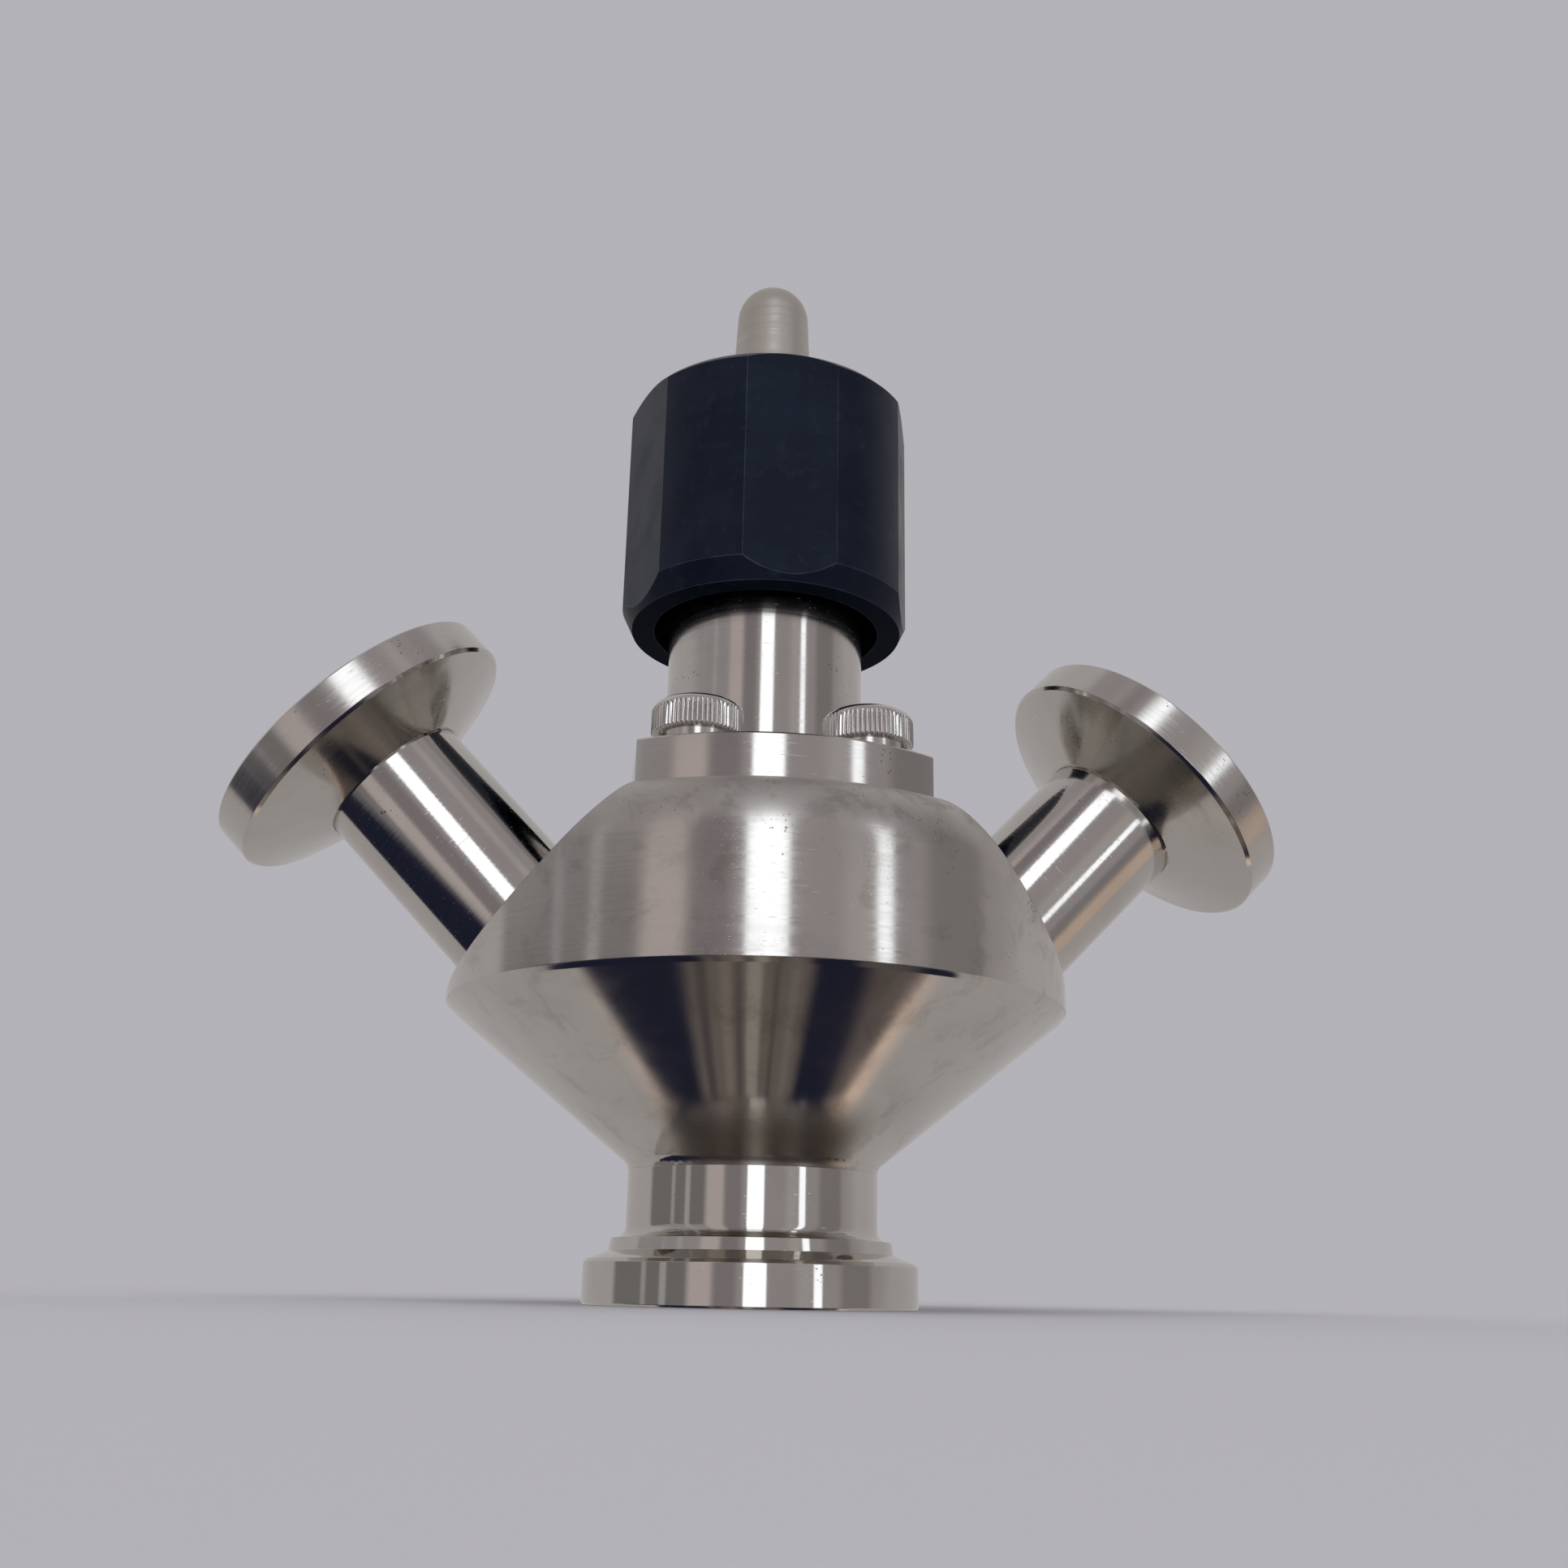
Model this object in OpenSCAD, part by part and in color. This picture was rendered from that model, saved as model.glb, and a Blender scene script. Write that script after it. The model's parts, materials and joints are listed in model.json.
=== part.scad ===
// Sanitary sampling valve of the diaphragm type: a funnel-shaped body on a clamp
// ferrule, two upward-slanting clamp ports, a bolted bonnet and a black knob.
// Units: mm. +Z runs along the spindle towards the knob, +X towards the right port.
// Origin: centre of the face of the bottom (process) ferrule. Shown closed.

/* [Clamp ferrules] */
// Outside diameter of every clamp ferrule
ferrule_od = 25.2; // [24.6:0.1:25.6]
// Thickness of the cylindrical rim of a ferrule
rim_t = 3.25; // [2.8:0.05:3.6]
// Bore of the process ferrule
process_bore = 15.75; // [15.0:0.25:16.5]
// Outside diameter of the neck above the process ferrule
neck_od = 19.1; // [18.6:0.1:19.6]

/* [Body] */
// Diameter of the turned wall of the body
body_od = 48.2; // [47.4:0.2:49.0]
// Height of the flange joint above the process face
joint_z = 35.35; // [35.0:0.05:35.7]
// Height at which the polished funnel meets the turned wall
funnel_top_z = 21.8; // [21.4:0.1:22.4]
// Radius of the rounded shoulder under the flange
shoulder_r = 4.95; // [4.0:0.05:5.2]

/* [Side ports] */
// Angle between the spindle and a side port
port_angle = 44.35; // [43.5:0.05:45.5]
// Length from where the port axes cross to the face of a side ferrule
port_len = 47.9; // [46.0:0.1:50.0]
// Outside diameter of a port tube
port_od = 12.06; // [11.8:0.02:12.7]
// Inside diameter of a port tube
port_bore = 9.5; // [9.0:0.1:10.0]

/* [Bonnet] */
// Diameter of the bonnet flange before its two flats are cut
flange_od = 38.3; // [37.8:0.1:38.6]
// Thickness of the bonnet flange
flange_t = 3.6; // [3.2:0.1:4.2]
// Outside diameter of the bonnet tube
bonnet_od = 16.3; // [16.2:0.1:17.0]
// Distance of each bonnet screw from the middle along X
screw_x = 6.4; // [6.2:0.1:6.8]
// Distance of each bonnet screw from the middle along Y
screw_y = 13.4; // [13.3:0.1:13.6]

/* [Knob] */
// Diameter of the knob across its turned faces
knob_od = 24.5; // [24.0:0.1:25.0]
// Height of the knob's lower lip when the valve is closed
knob_z = 54.3; // [54.0:0.1:55.0]
// Height of the top of the knob when the valve is closed
knob_top_z = 74.6; // [74.3:0.1:75.4]
// Turn of the front flat from the front of the valve, in degrees
knob_turn = 2.3; // [0:0.1:72]
// Diameter of the dome on the cap nut
dome_od = 6.35; // [6.0:0.05:6.6]
// Height of the top of the dome when the valve is closed
dome_top_z = 88.4; // [87.0:0.1:89.0]

/* [Spindle and membrane] */
// Lift of the membrane from shut to fully open
lift = 3.0; // [2.0:0.1:3.0]
// Outside diameter of the spindle's thread
spindle_od = 7.9; // [7.7:0.05:7.9]
// Radius of the seat opening
seat_r = 4.0; // [3.6:0.1:4.1]

/* [Hidden] */
$fn = 96;
eps = 0.01;

fit = 0.02;                     // gap of a pressed, welded or bonded joint
run = 0.05;                     // gap of a running joint

ferrule_r = ferrule_od / 2;
taper_angle = 21;               // back of a ferrule, where the clamp bears
edge_break = 0.25;
face_break = 0.15;
gasket_groove_r = 10.1;
gasket_groove_size = 0.9;

neck_r = neck_od / 2;
neck_top_z = 9.7;
neck_fillet = 0.9;
process_r = process_bore / 2;

body_r = body_od / 2;
funnel_angle = 51.45;           // of the funnel's side from the spindle
funnel_break = 0.35;            // small step between funnel and wall
funnel_r = body_r - funnel_break;
funnel_root_z = funnel_top_z - funnel_break - (funnel_r - neck_r) / tan(funnel_angle);
spigot_r = 8.6;
spigot_z = 8.2;                 // the process bore ends here
chamber_r = 6.6;
seat_z = 10.9;
seat_top_z = 12.43;
seat_entry_r = process_r;
seat_entry_top_z = 10.1;
rim_seat_r = 9.6;
rim_seat_z = joint_z - 1.75;
tapped_r = 2.02;
tapped_depth = 9;

port_axis_z = 9.26;             // where the two port axes cross the spindle axis
port_face = 26.2;               // slanted face of the body, along the port axis
port_seat = 24.5;               // bottom of the tube's socket in the body
port_r = port_od / 2;
port_bore_r = port_bore / 2;
channel_r = 2.5;
channel_start = 6.9;
channel_flare = 20;
ferrule_socket = 3.4;           // depth of the wall in front of the tube's end
ferrule_root_r = port_r + 0.25;

flange_r = flange_od / 2;
flange_top_z = joint_z + flange_t;
flange_flat = (port_face - (joint_z - port_axis_z) * cos(port_angle)) / sin(port_angle) + 0.1;
bonnet_r = bonnet_od / 2;
bonnet_top_z = 65.5;
bush_r = 6.0;
bush_bore_r = 4.95;
bush_top_z = 48;
guide_bore_r = 5.2;
ledge_r = 4.6;
ledge_z = 51.5;
nut_z = 52.5;
nut_h = 10;
nut_r = 6.5;
circlip_z = 62.6;
circlip_t = 1.0;
circlip_r = 7.1;

screw_clear_r = 2.15;
screw_r = 2.0;
washer_t = 1.1;
washer_r = 2.95;
head_r = 3.45;
head_h = 2.6;
head_round = 0.9;
socket_af = 3.0;
socket_depth = 1.6;

rod_r = 3.9;
rod_z = 14.2;
guide_z = 37;
guide_r = bush_bore_r - run;
guide_top_z = 48.4;
key_w = 2.1;
key_depth_r = 3.8;
key_top_z = 43.15;
key_pin_r = 1.0;
key_pin_z = 42;
o_ring_r = 0.6;
o_ring_z = 44.2;
o_ring_centre_r = guide_r - o_ring_r + fit;
journal_r = 2.4;
journal_z = 43.6;
swivel_z = 46.2;
swivel_pin_r = 0.75;
swivel_groove_r = 1.8;
swivel_x = swivel_groove_r + swivel_pin_r + run;
swivel_len = 7;
thrust_t = 0.8;
thrust_r = 4.3;

spindle_r = spindle_od / 2;
shoulder_z = guide_top_z + thrust_t;
square_z = 66.0;
square_af = 5.5;
stud_z = knob_top_z - 0.4;
stud_r = 2.0;
stud_top_z = 82;

membrane_rim_r = rim_seat_r - run;
sleeve_r = 5.4;
sleeve_bore_r = rod_r + 0.3;
nose_r = seat_r - 0.2;
nose_z = 9.9;
insert_head_r = 2.5;
insert_head_z = 11.8;
insert_head_t = 1.0;
insert_r = 1.5;
insert_top_z = 20;

knob_r = knob_od / 2;
flat_count = 5;
flat_step = 360 / flat_count;
flat_r = knob_r * cos(flat_step / 4);
knob_break_z = 56.1;            // where the lower chamfer starts
knob_lip_r = 11.4;
knob_bore_r = 9.5;
knob_roof_z = 67.0;
knob_top_break = 0.6;
hub_r = 6.0;
hub_flange_r = 7.5;
nut_washer_t = 0.8;
nut_washer_r = 4.4;
dome_r = dome_od / 2;
dome_nut_z = knob_top_z + nut_washer_t;
dome_hex_af = 7;
dome_hex_h = 4.5;
dome_flare = 0.25;

// A tube or washer standing on z = 0.
module ring(r_out, r_in, h) {
    difference() {
        cylinder(r = r_out, h = h);
        translate([0, 0, -1]) cylinder(r = r_in, h = h + 2);
    }
}

// Puts +Z along the left (-1) or right (+1) port, from where the axes cross.
module along_port(side) {
    translate([0, 0, port_axis_z]) rotate([0, side * port_angle, 0]) children();
}

// Repeats a child at the four bonnet screws.
module at_screws() {
    for (sx = [-1, 1], sy = [-1, 1])
        translate([sx * screw_x, sy * screw_y, 0]) children();
}

// Half section of a ferrule's rim and tapered back, face on y = 0, back towards +y.
module rim_section(root_r) {
    taper_h = (ferrule_r - edge_break - root_r) * tan(taper_angle);
    polygon([
        [0, 0],
        [ferrule_r - face_break, 0],
        [ferrule_r, face_break],
        [ferrule_r, rim_t - edge_break],
        [ferrule_r - edge_break, rim_t],
        [root_r, rim_t + taper_h],
        [0, rim_t + taper_h]
    ]);
}

// Half-round gasket groove in a ferrule's face.
module groove_section() {
    translate([gasket_groove_r, 0]) circle(r = gasket_groove_size, $fn = 32);
}

// Fillet in the inner corner of a vertical wall at x = wall_r and a line that
// leaves (wall_r, corner_y) at the given angle above the horizontal.
module corner_fillet(wall_r, corner_y, angle, r) {
    reach = r * tan((90 - angle) / 2);
    difference() {
        polygon([
            [wall_r - 0.5, corner_y - 0.01],
            [wall_r, corner_y - 0.01],
            [wall_r + reach * cos(angle), corner_y + reach * sin(angle)],
            [wall_r + r, corner_y + reach],
            [wall_r - 0.5, corner_y + reach]
        ]);
        translate([wall_r + r, corner_y + reach]) circle(r = r, $fn = 96);
    }
}

module process_ferrule() {
    taper_h = (ferrule_r - edge_break - neck_r) * tan(taper_angle);
    color("silver")
    rotate_extrude()
    difference() {
        union() {
            rim_section(neck_r);
            translate([0, rim_t]) square([neck_r, neck_top_z - rim_t]);
            corner_fillet(neck_r, rim_t + taper_h, -taper_angle, neck_fillet);
        }
        translate([0, -1]) square([process_r, neck_top_z + 2]);
        translate([0, spigot_z]) square([spigot_r + fit, neck_top_z]);
        groove_section();
    }
}

// Outside of the body, turned in one setting: spigot, funnel, wall and shoulder.
module body_section() {
    union() {
        polygon([
            [0, spigot_z],
            [spigot_r, spigot_z],
            [spigot_r, neck_top_z],
            [neck_r, neck_top_z],
            [neck_r, funnel_root_z],
            [funnel_r, funnel_top_z - funnel_break],
            [body_r, funnel_top_z],
            [body_r, joint_z - shoulder_r],
            [body_r - shoulder_r, joint_z - shoulder_r],
            [body_r - shoulder_r, joint_z],
            [0, joint_z]
        ]);
        intersection() {
            translate([body_r - shoulder_r, joint_z - shoulder_r]) circle(r = shoulder_r);
            translate([0, joint_z - shoulder_r]) square([body_r, shoulder_r]);
        }
    }
}

// Fillet between the neck and the funnel.
module funnel_fillet_section() {
    reach = neck_fillet * tan(funnel_angle / 2);
    difference() {
        polygon([
            [neck_r - 0.5, funnel_root_z - reach],
            [neck_r, funnel_root_z - reach],
            [neck_r + neck_fillet, funnel_root_z - reach],
            [neck_r + reach * sin(funnel_angle), funnel_root_z + reach * cos(funnel_angle)],
            [neck_r - 0.5, funnel_root_z + reach]
        ]);
        translate([neck_r + neck_fillet, funnel_root_z - reach]) circle(r = neck_fillet);
    }
}

// Chamber, conical seat and flared entry down the middle of the body.
module chamber_section() {
    polygon([
        [0, spigot_z - 1],
        [seat_entry_r, spigot_z - 1],
        [seat_entry_r, spigot_z],
        [seat_r, seat_entry_top_z],
        [seat_r, seat_z],
        [chamber_r, seat_top_z],
        [chamber_r, rim_seat_z],
        [rim_seat_r, rim_seat_z],
        [rim_seat_r, joint_z + 1],
        [0, joint_z + 1]
    ]);
}

module valve_body() {
    color("silver")
    difference() {
        rotate_extrude() difference() {
            union() {
                body_section();
                funnel_fillet_section();
            }
            chamber_section();
        }
        for (side = [-1, 1]) along_port(side) {
            translate([-40, -40, port_face]) cube([80, 80, 40]);
            translate([0, 0, channel_start]) cylinder(r = channel_r, h = port_face);
            translate([0, 0, channel_flare])
                cylinder(r1 = channel_r, r2 = port_bore_r, h = port_seat - channel_flare + eps);
            translate([0, 0, port_seat]) cylinder(r = port_r + fit, h = 4);
        }
        at_screws() translate([0, 0, joint_z - tapped_depth]) cylinder(r = tapped_r, h = 20, $fn = 48);
    }
}

module port_tube(side) {
    color("silver")
    along_port(side) translate([0, 0, port_seat])
        ring(port_r, port_bore_r, port_len - ferrule_socket - port_seat);
}

module port_ferrule(side) {
    color("silver")
    along_port(side) translate([0, 0, port_len]) mirror([0, 0, 1])
    rotate_extrude() difference() {
        rim_section(ferrule_root_r);
        translate([0, -1]) square([port_bore_r, 10]);
        translate([0, ferrule_socket]) square([port_r + fit, 10]);
        groove_section();
    }
}

// Half section of the moulded membrane: rim, sleeve and seat plug.
module membrane_section() {
    seat_slope = (seat_top_z - seat_z) / (chamber_r - seat_r);
    cone_z = seat_z + fit;
    difference() {
        polygon([
            [0, nose_z],
            [nose_r - 0.5, nose_z],
            [nose_r, nose_z + 0.4],
            [nose_r, cone_z + 0.1 * seat_slope],
            [seat_r + 0.1, cone_z + 0.1 * seat_slope],
            [sleeve_r, cone_z + (sleeve_r - seat_r) * seat_slope],
            [sleeve_r, rim_seat_z],
            [membrane_rim_r, rim_seat_z],
            [membrane_rim_r, joint_z],
            [0, joint_z]
        ]);
        translate([0, rod_z]) square([sleeve_bore_r, 40]);
        translate([0, insert_head_z - fit])
            square([insert_head_r + fit, insert_head_t + 2 * fit]);
        translate([0, insert_head_z]) square([insert_r + fit, 10]);
    }
}

module membrane() {
    color("white") rotate_extrude() membrane_section();
}

module membrane_stud() {
    color("silver") {
        translate([0, 0, insert_head_z]) cylinder(r = insert_head_r, h = insert_head_t);
        translate([0, 0, insert_head_z + insert_head_t - eps])
            cylinder(r = insert_r, h = insert_top_z - insert_head_z - insert_head_t);
    }
}

// Half section of the bonnet: flange, tube and the stepped bore for the drive.
module bonnet_section() {
    difference() {
        union() {
            polygon([
                [0, joint_z],
                [flange_r - face_break, joint_z],
                [flange_r, joint_z + face_break],
                [flange_r, flange_top_z - face_break],
                [flange_r - face_break, flange_top_z],
                [0, flange_top_z]
            ]);
            translate([0, joint_z]) square([bonnet_r, bonnet_top_z - joint_z]);
        }
        translate([0, joint_z - 1]) square([bush_r, bush_top_z - joint_z + 1]);
        translate([0, joint_z]) square([guide_bore_r, ledge_z - joint_z]);
        translate([0, joint_z]) square([ledge_r, nut_z - joint_z + 1]);
        translate([0, nut_z]) square([nut_r, 40]);
        translate([0, circlip_z]) square([circlip_r, circlip_t]);
    }
}

module bonnet() {
    color("silver")
    difference() {
        rotate_extrude() bonnet_section();
        for (side = [-1, 1])
            translate([side * (flange_flat + 10), 0, joint_z + flange_t / 2])
                cube([20, 60, flange_t + 2], center = true);
        at_screws() translate([0, 0, joint_z - 1]) cylinder(r = screw_clear_r, h = 10, $fn = 48);
        translate([0, 0, key_pin_z]) rotate([-90, 0, 0]) cylinder(r = key_pin_r + fit, h = 20, $fn = 48);
    }
}

// Head of a bonnet screw: plain cylinder with a rounded top edge and hex socket.
module screw_head() {
    difference() {
        rotate_extrude() union() {
            square([head_r, head_h - head_round]);
            square([head_r - head_round, head_h]);
            translate([head_r - head_round, head_h - head_round]) circle(r = head_round, $fn = 48);
        }
        translate([0, 0, head_h - socket_depth])
            cylinder(d = socket_af / cos(30), h = 5, $fn = 6);
    }
}

module bonnet_screws() {
    head_z = flange_top_z + washer_t;
    color("gainsboro")
    at_screws() {
        translate([0, 0, head_z]) screw_head();
        translate([0, 0, joint_z - tapped_depth + 1])
            cylinder(r = screw_r, h = head_z - joint_z + tapped_depth - 1 + eps, $fn = 48);
    }
}

// Spring washers, each with its split turned to the back of the valve.
module lock_washers() {
    color("gainsboro")
    at_screws() translate([0, 0, flange_top_z]) difference() {
        ring(washer_r, screw_clear_r, washer_t, $fn = 48);
        translate([0, washer_r, washer_t / 2]) rotate([0, 30, 0])
            cube([0.5, 3, 4], center = true);
    }
}

module guide_bush() {
    color("ivory")
    difference() {
        translate([0, 0, joint_z]) ring(bush_r - fit, bush_bore_r, bush_top_z - joint_z);
        translate([0, 0, key_pin_z]) rotate([-90, 0, 0]) cylinder(r = key_pin_r + fit, h = 20, $fn = 48);
    }
}

module guide_pin() {
    color("gray")
    translate([0, key_depth_r + 0.15, key_pin_z]) rotate([-90, 0, 0])
        cylinder(r = key_pin_r, h = bonnet_r - key_depth_r - 0.25, $fn = 48);
}

// Half section of the pusher: rod, guide, seal groove, stud hole and spindle socket.
module pusher_section() {
    difference() {
        union() {
            translate([0, rod_z]) square([rod_r, guide_z - rod_z + 1]);
            translate([0, guide_z]) square([guide_r, guide_top_z - guide_z]);
        }
        translate([0, rod_z - 1]) square([insert_r + fit, insert_top_z + 0.3 - rod_z + 1]);
        translate([0, journal_z - 0.2]) square([journal_r + run, 20]);
        translate([o_ring_centre_r - o_ring_r - fit, o_ring_z - o_ring_r - 0.1])
            square([5, 2 * o_ring_r + 0.2]);
    }
}

module pusher() {
    color("silver")
    difference() {
        rotate_extrude() pusher_section();
        translate([-key_w / 2, key_depth_r, guide_z - 1])
            cube([key_w, 10, key_top_z - guide_z + 1]);
        for (side = [-1, 1])
            translate([side * swivel_x, -10, swivel_z]) rotate([-90, 0, 0])
                cylinder(r = swivel_pin_r + fit, h = 20, $fn = 48);
    }
}

module pusher_o_ring() {
    color("black")
    translate([0, 0, o_ring_z]) rotate_extrude()
        translate([o_ring_centre_r, 0]) circle(r = o_ring_r, $fn = 32);
}

module swivel_pins() {
    color("gray")
    for (side = [-1, 1])
        translate([side * swivel_x, -swivel_len / 2, swivel_z]) rotate([-90, 0, 0])
            cylinder(r = swivel_pin_r, h = swivel_len, $fn = 48);
}

module thrust_washer() {
    color("goldenrod")
    translate([0, 0, guide_top_z]) ring(thrust_r, journal_r + run, thrust_t);
}

module spindle() {
    groove_h = 2 * (swivel_pin_r + run);
    color("silver") {
        difference() {
            translate([0, 0, journal_z]) cylinder(r = journal_r, h = shoulder_z - journal_z + eps);
            translate([0, 0, swivel_z - groove_h / 2]) ring(5, swivel_groove_r, groove_h);
        }
        translate([0, 0, shoulder_z]) cylinder(r = spindle_r, h = square_z - shoulder_z);
        translate([0, 0, (square_z + stud_z) / 2 - eps])
            cube([square_af, square_af, stud_z - square_z + eps], center = true);
        translate([0, 0, stud_z - 2 * eps]) cylinder(r = stud_r, h = stud_top_z - stud_z, $fn = 48);
    }
}

module stem_nut() {
    color("goldenrod")
    translate([0, 0, nut_z]) ring(nut_r - fit, spindle_r + run, nut_h);
}

// Internal retaining ring with its gap and the two lugs for the pliers.
module circlip() {
    color("dimgray")
    translate([0, 0, circlip_z + 0.05]) difference() {
        union() {
            ring(circlip_r - run, 5.7, circlip_t - 0.1);
            for (side = [-1, 1])
                rotate([0, 0, 90 + side * 18]) translate([5.5, 0, 0])
                    cylinder(r = 1.0, h = circlip_t - 0.1, $fn = 32);
        }
        rotate([0, 0, 90]) translate([3, -1, -1]) cube([6, 2, 3]);
        for (side = [-1, 1])
            rotate([0, 0, 90 + side * 18]) translate([5.5, 0, -1])
                cylinder(r = 0.4, h = 3, $fn = 32);
    }
}

// Half section of the knob: turned barrel, lower chamfer, skirt bore and roof.
module knob_section() {
    difference() {
        polygon([
            [0, knob_z],
            [knob_lip_r, knob_z],
            [knob_r, knob_break_z],
            [knob_r, knob_top_z - knob_top_break],
            [knob_r - knob_top_break, knob_top_z],
            [0, knob_top_z]
        ]);
        translate([0, knob_z - 1]) square([knob_bore_r, knob_roof_z - knob_z + 1]);
        translate([0, knob_z]) square([hub_r + fit, 40]);
    }
}

module knob() {
    color("#1b1e2a")
    difference() {
        rotate_extrude() knob_section();
        for (i = [0 : flat_count - 1])
            rotate([0, 0, -90 + knob_turn + flat_step * i])
                translate([flat_r, -20, knob_z - 1]) cube([10, 40, 40]);
    }
}

module knob_insert() {
    color("silver")
    difference() {
        union() {
            translate([0, 0, square_z]) cylinder(r = hub_r, h = knob_top_z - square_z);
            translate([0, 0, square_z]) cylinder(r = hub_flange_r, h = knob_roof_z - square_z);
        }
        translate([0, 0, (square_z + knob_top_z) / 2])
            cube([square_af + 2 * fit, square_af + 2 * fit, 20], center = true);
    }
}

module knob_washer() {
    color("silver")
    translate([0, 0, knob_top_z]) ring(nut_washer_r, stud_r + 0.15, nut_washer_t, $fn = 64);
}

// Half section of the slim dome, slightly wider where it leaves the hexagon.
module dome_section() {
    centre_z = dome_top_z - dome_r;
    hex_top_z = dome_nut_z + dome_hex_h;
    union() {
        polygon([
            [0, dome_nut_z],
            [dome_r + dome_flare, dome_nut_z],
            [dome_r + dome_flare, hex_top_z],
            [dome_r, centre_z],
            [0, centre_z]
        ]);
        intersection() {
            translate([0, centre_z]) circle(r = dome_r);
            translate([0, centre_z - eps]) square([dome_r, dome_r + eps]);
        }
    }
}

// Hexagon of the cap nut with its upper corners turned off.
module nut_hexagon() {
    corner_r = dome_hex_af / 2 / cos(30);
    intersection() {
        cylinder(r = corner_r, h = dome_hex_h, $fn = 6);
        rotate_extrude() polygon([
            [0, 0],
            [corner_r + 0.2, 0],
            [corner_r + 0.2, dome_hex_h - 0.5],
            [dome_hex_af / 2, dome_hex_h],
            [0, dome_hex_h]
        ]);
    }
}

module dome_nut() {
    color("silver")
    difference() {
        union() {
            rotate_extrude() dome_section();
            translate([0, 0, dome_nut_z]) nut_hexagon();
        }
        translate([0, 0, dome_nut_z - 1])
            cylinder(r = stud_r + fit, h = stud_top_z + 0.5 - dome_nut_z + 1, $fn = 48);
    }
}

process_ferrule();
valve_body();
port_tube(-1);  // left_port_tube
port_tube(1);  // right_port_tube
port_ferrule(-1);  // left_port_ferrule
port_ferrule(1);  // right_port_ferrule
membrane();
membrane_stud();
bonnet();
bonnet_screws();
lock_washers();
guide_bush();
guide_pin();
pusher();
pusher_o_ring();
swivel_pins();
thrust_washer();
spindle();
stem_nut();
circlip();
knob();
knob_insert();
knob_washer();
dome_nut();
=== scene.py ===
"""Looks for the hygienic diaphragm sampling valve: camera, stage, light, steel and knob.

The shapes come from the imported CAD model. This script adds the materials, with the small
marks of turning and handling, and knurled bonnet screws. Lengths are in metres.
"""
import math

import bmesh
import bpy
from mathutils import Matrix, Vector
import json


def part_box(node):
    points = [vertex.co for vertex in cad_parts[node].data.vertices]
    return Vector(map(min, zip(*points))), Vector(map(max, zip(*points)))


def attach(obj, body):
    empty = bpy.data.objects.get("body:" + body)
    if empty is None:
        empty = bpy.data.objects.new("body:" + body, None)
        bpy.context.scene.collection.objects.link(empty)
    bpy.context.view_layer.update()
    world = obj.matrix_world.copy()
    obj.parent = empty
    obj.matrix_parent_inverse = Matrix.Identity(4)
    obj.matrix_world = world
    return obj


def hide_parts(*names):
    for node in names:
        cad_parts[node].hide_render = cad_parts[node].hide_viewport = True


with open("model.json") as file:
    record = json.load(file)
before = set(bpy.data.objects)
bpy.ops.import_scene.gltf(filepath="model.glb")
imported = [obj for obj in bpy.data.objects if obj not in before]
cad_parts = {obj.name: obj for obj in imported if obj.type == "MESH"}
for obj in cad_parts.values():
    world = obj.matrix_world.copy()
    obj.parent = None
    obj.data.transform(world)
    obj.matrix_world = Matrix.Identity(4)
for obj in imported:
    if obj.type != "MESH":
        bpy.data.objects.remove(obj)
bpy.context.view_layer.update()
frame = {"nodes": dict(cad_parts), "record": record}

MM = 0.001
NODES = frame["nodes"]
MOUNTS = {m["name"]: m for m in frame["record"]["mounts"]}

# Colours that the steels give back, all slightly warm.
STEEL = (0.62, 0.595, 0.555)
SATIN_STEEL = (0.66, 0.63, 0.57)
BRIGHT_STEEL = (0.70, 0.68, 0.65)
STAIN = (0.36, 0.325, 0.285)
# Brown tint low on the body, on its front-facing side only.
FRONT_LOW_BROWN = (0.20, 0.155, 0.115)
# The plain backdrop that the camera sees.
STAGE_GREY = (0.455, 0.447, 0.480)


# ---------------------------------------------------------------- node graphs

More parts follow.
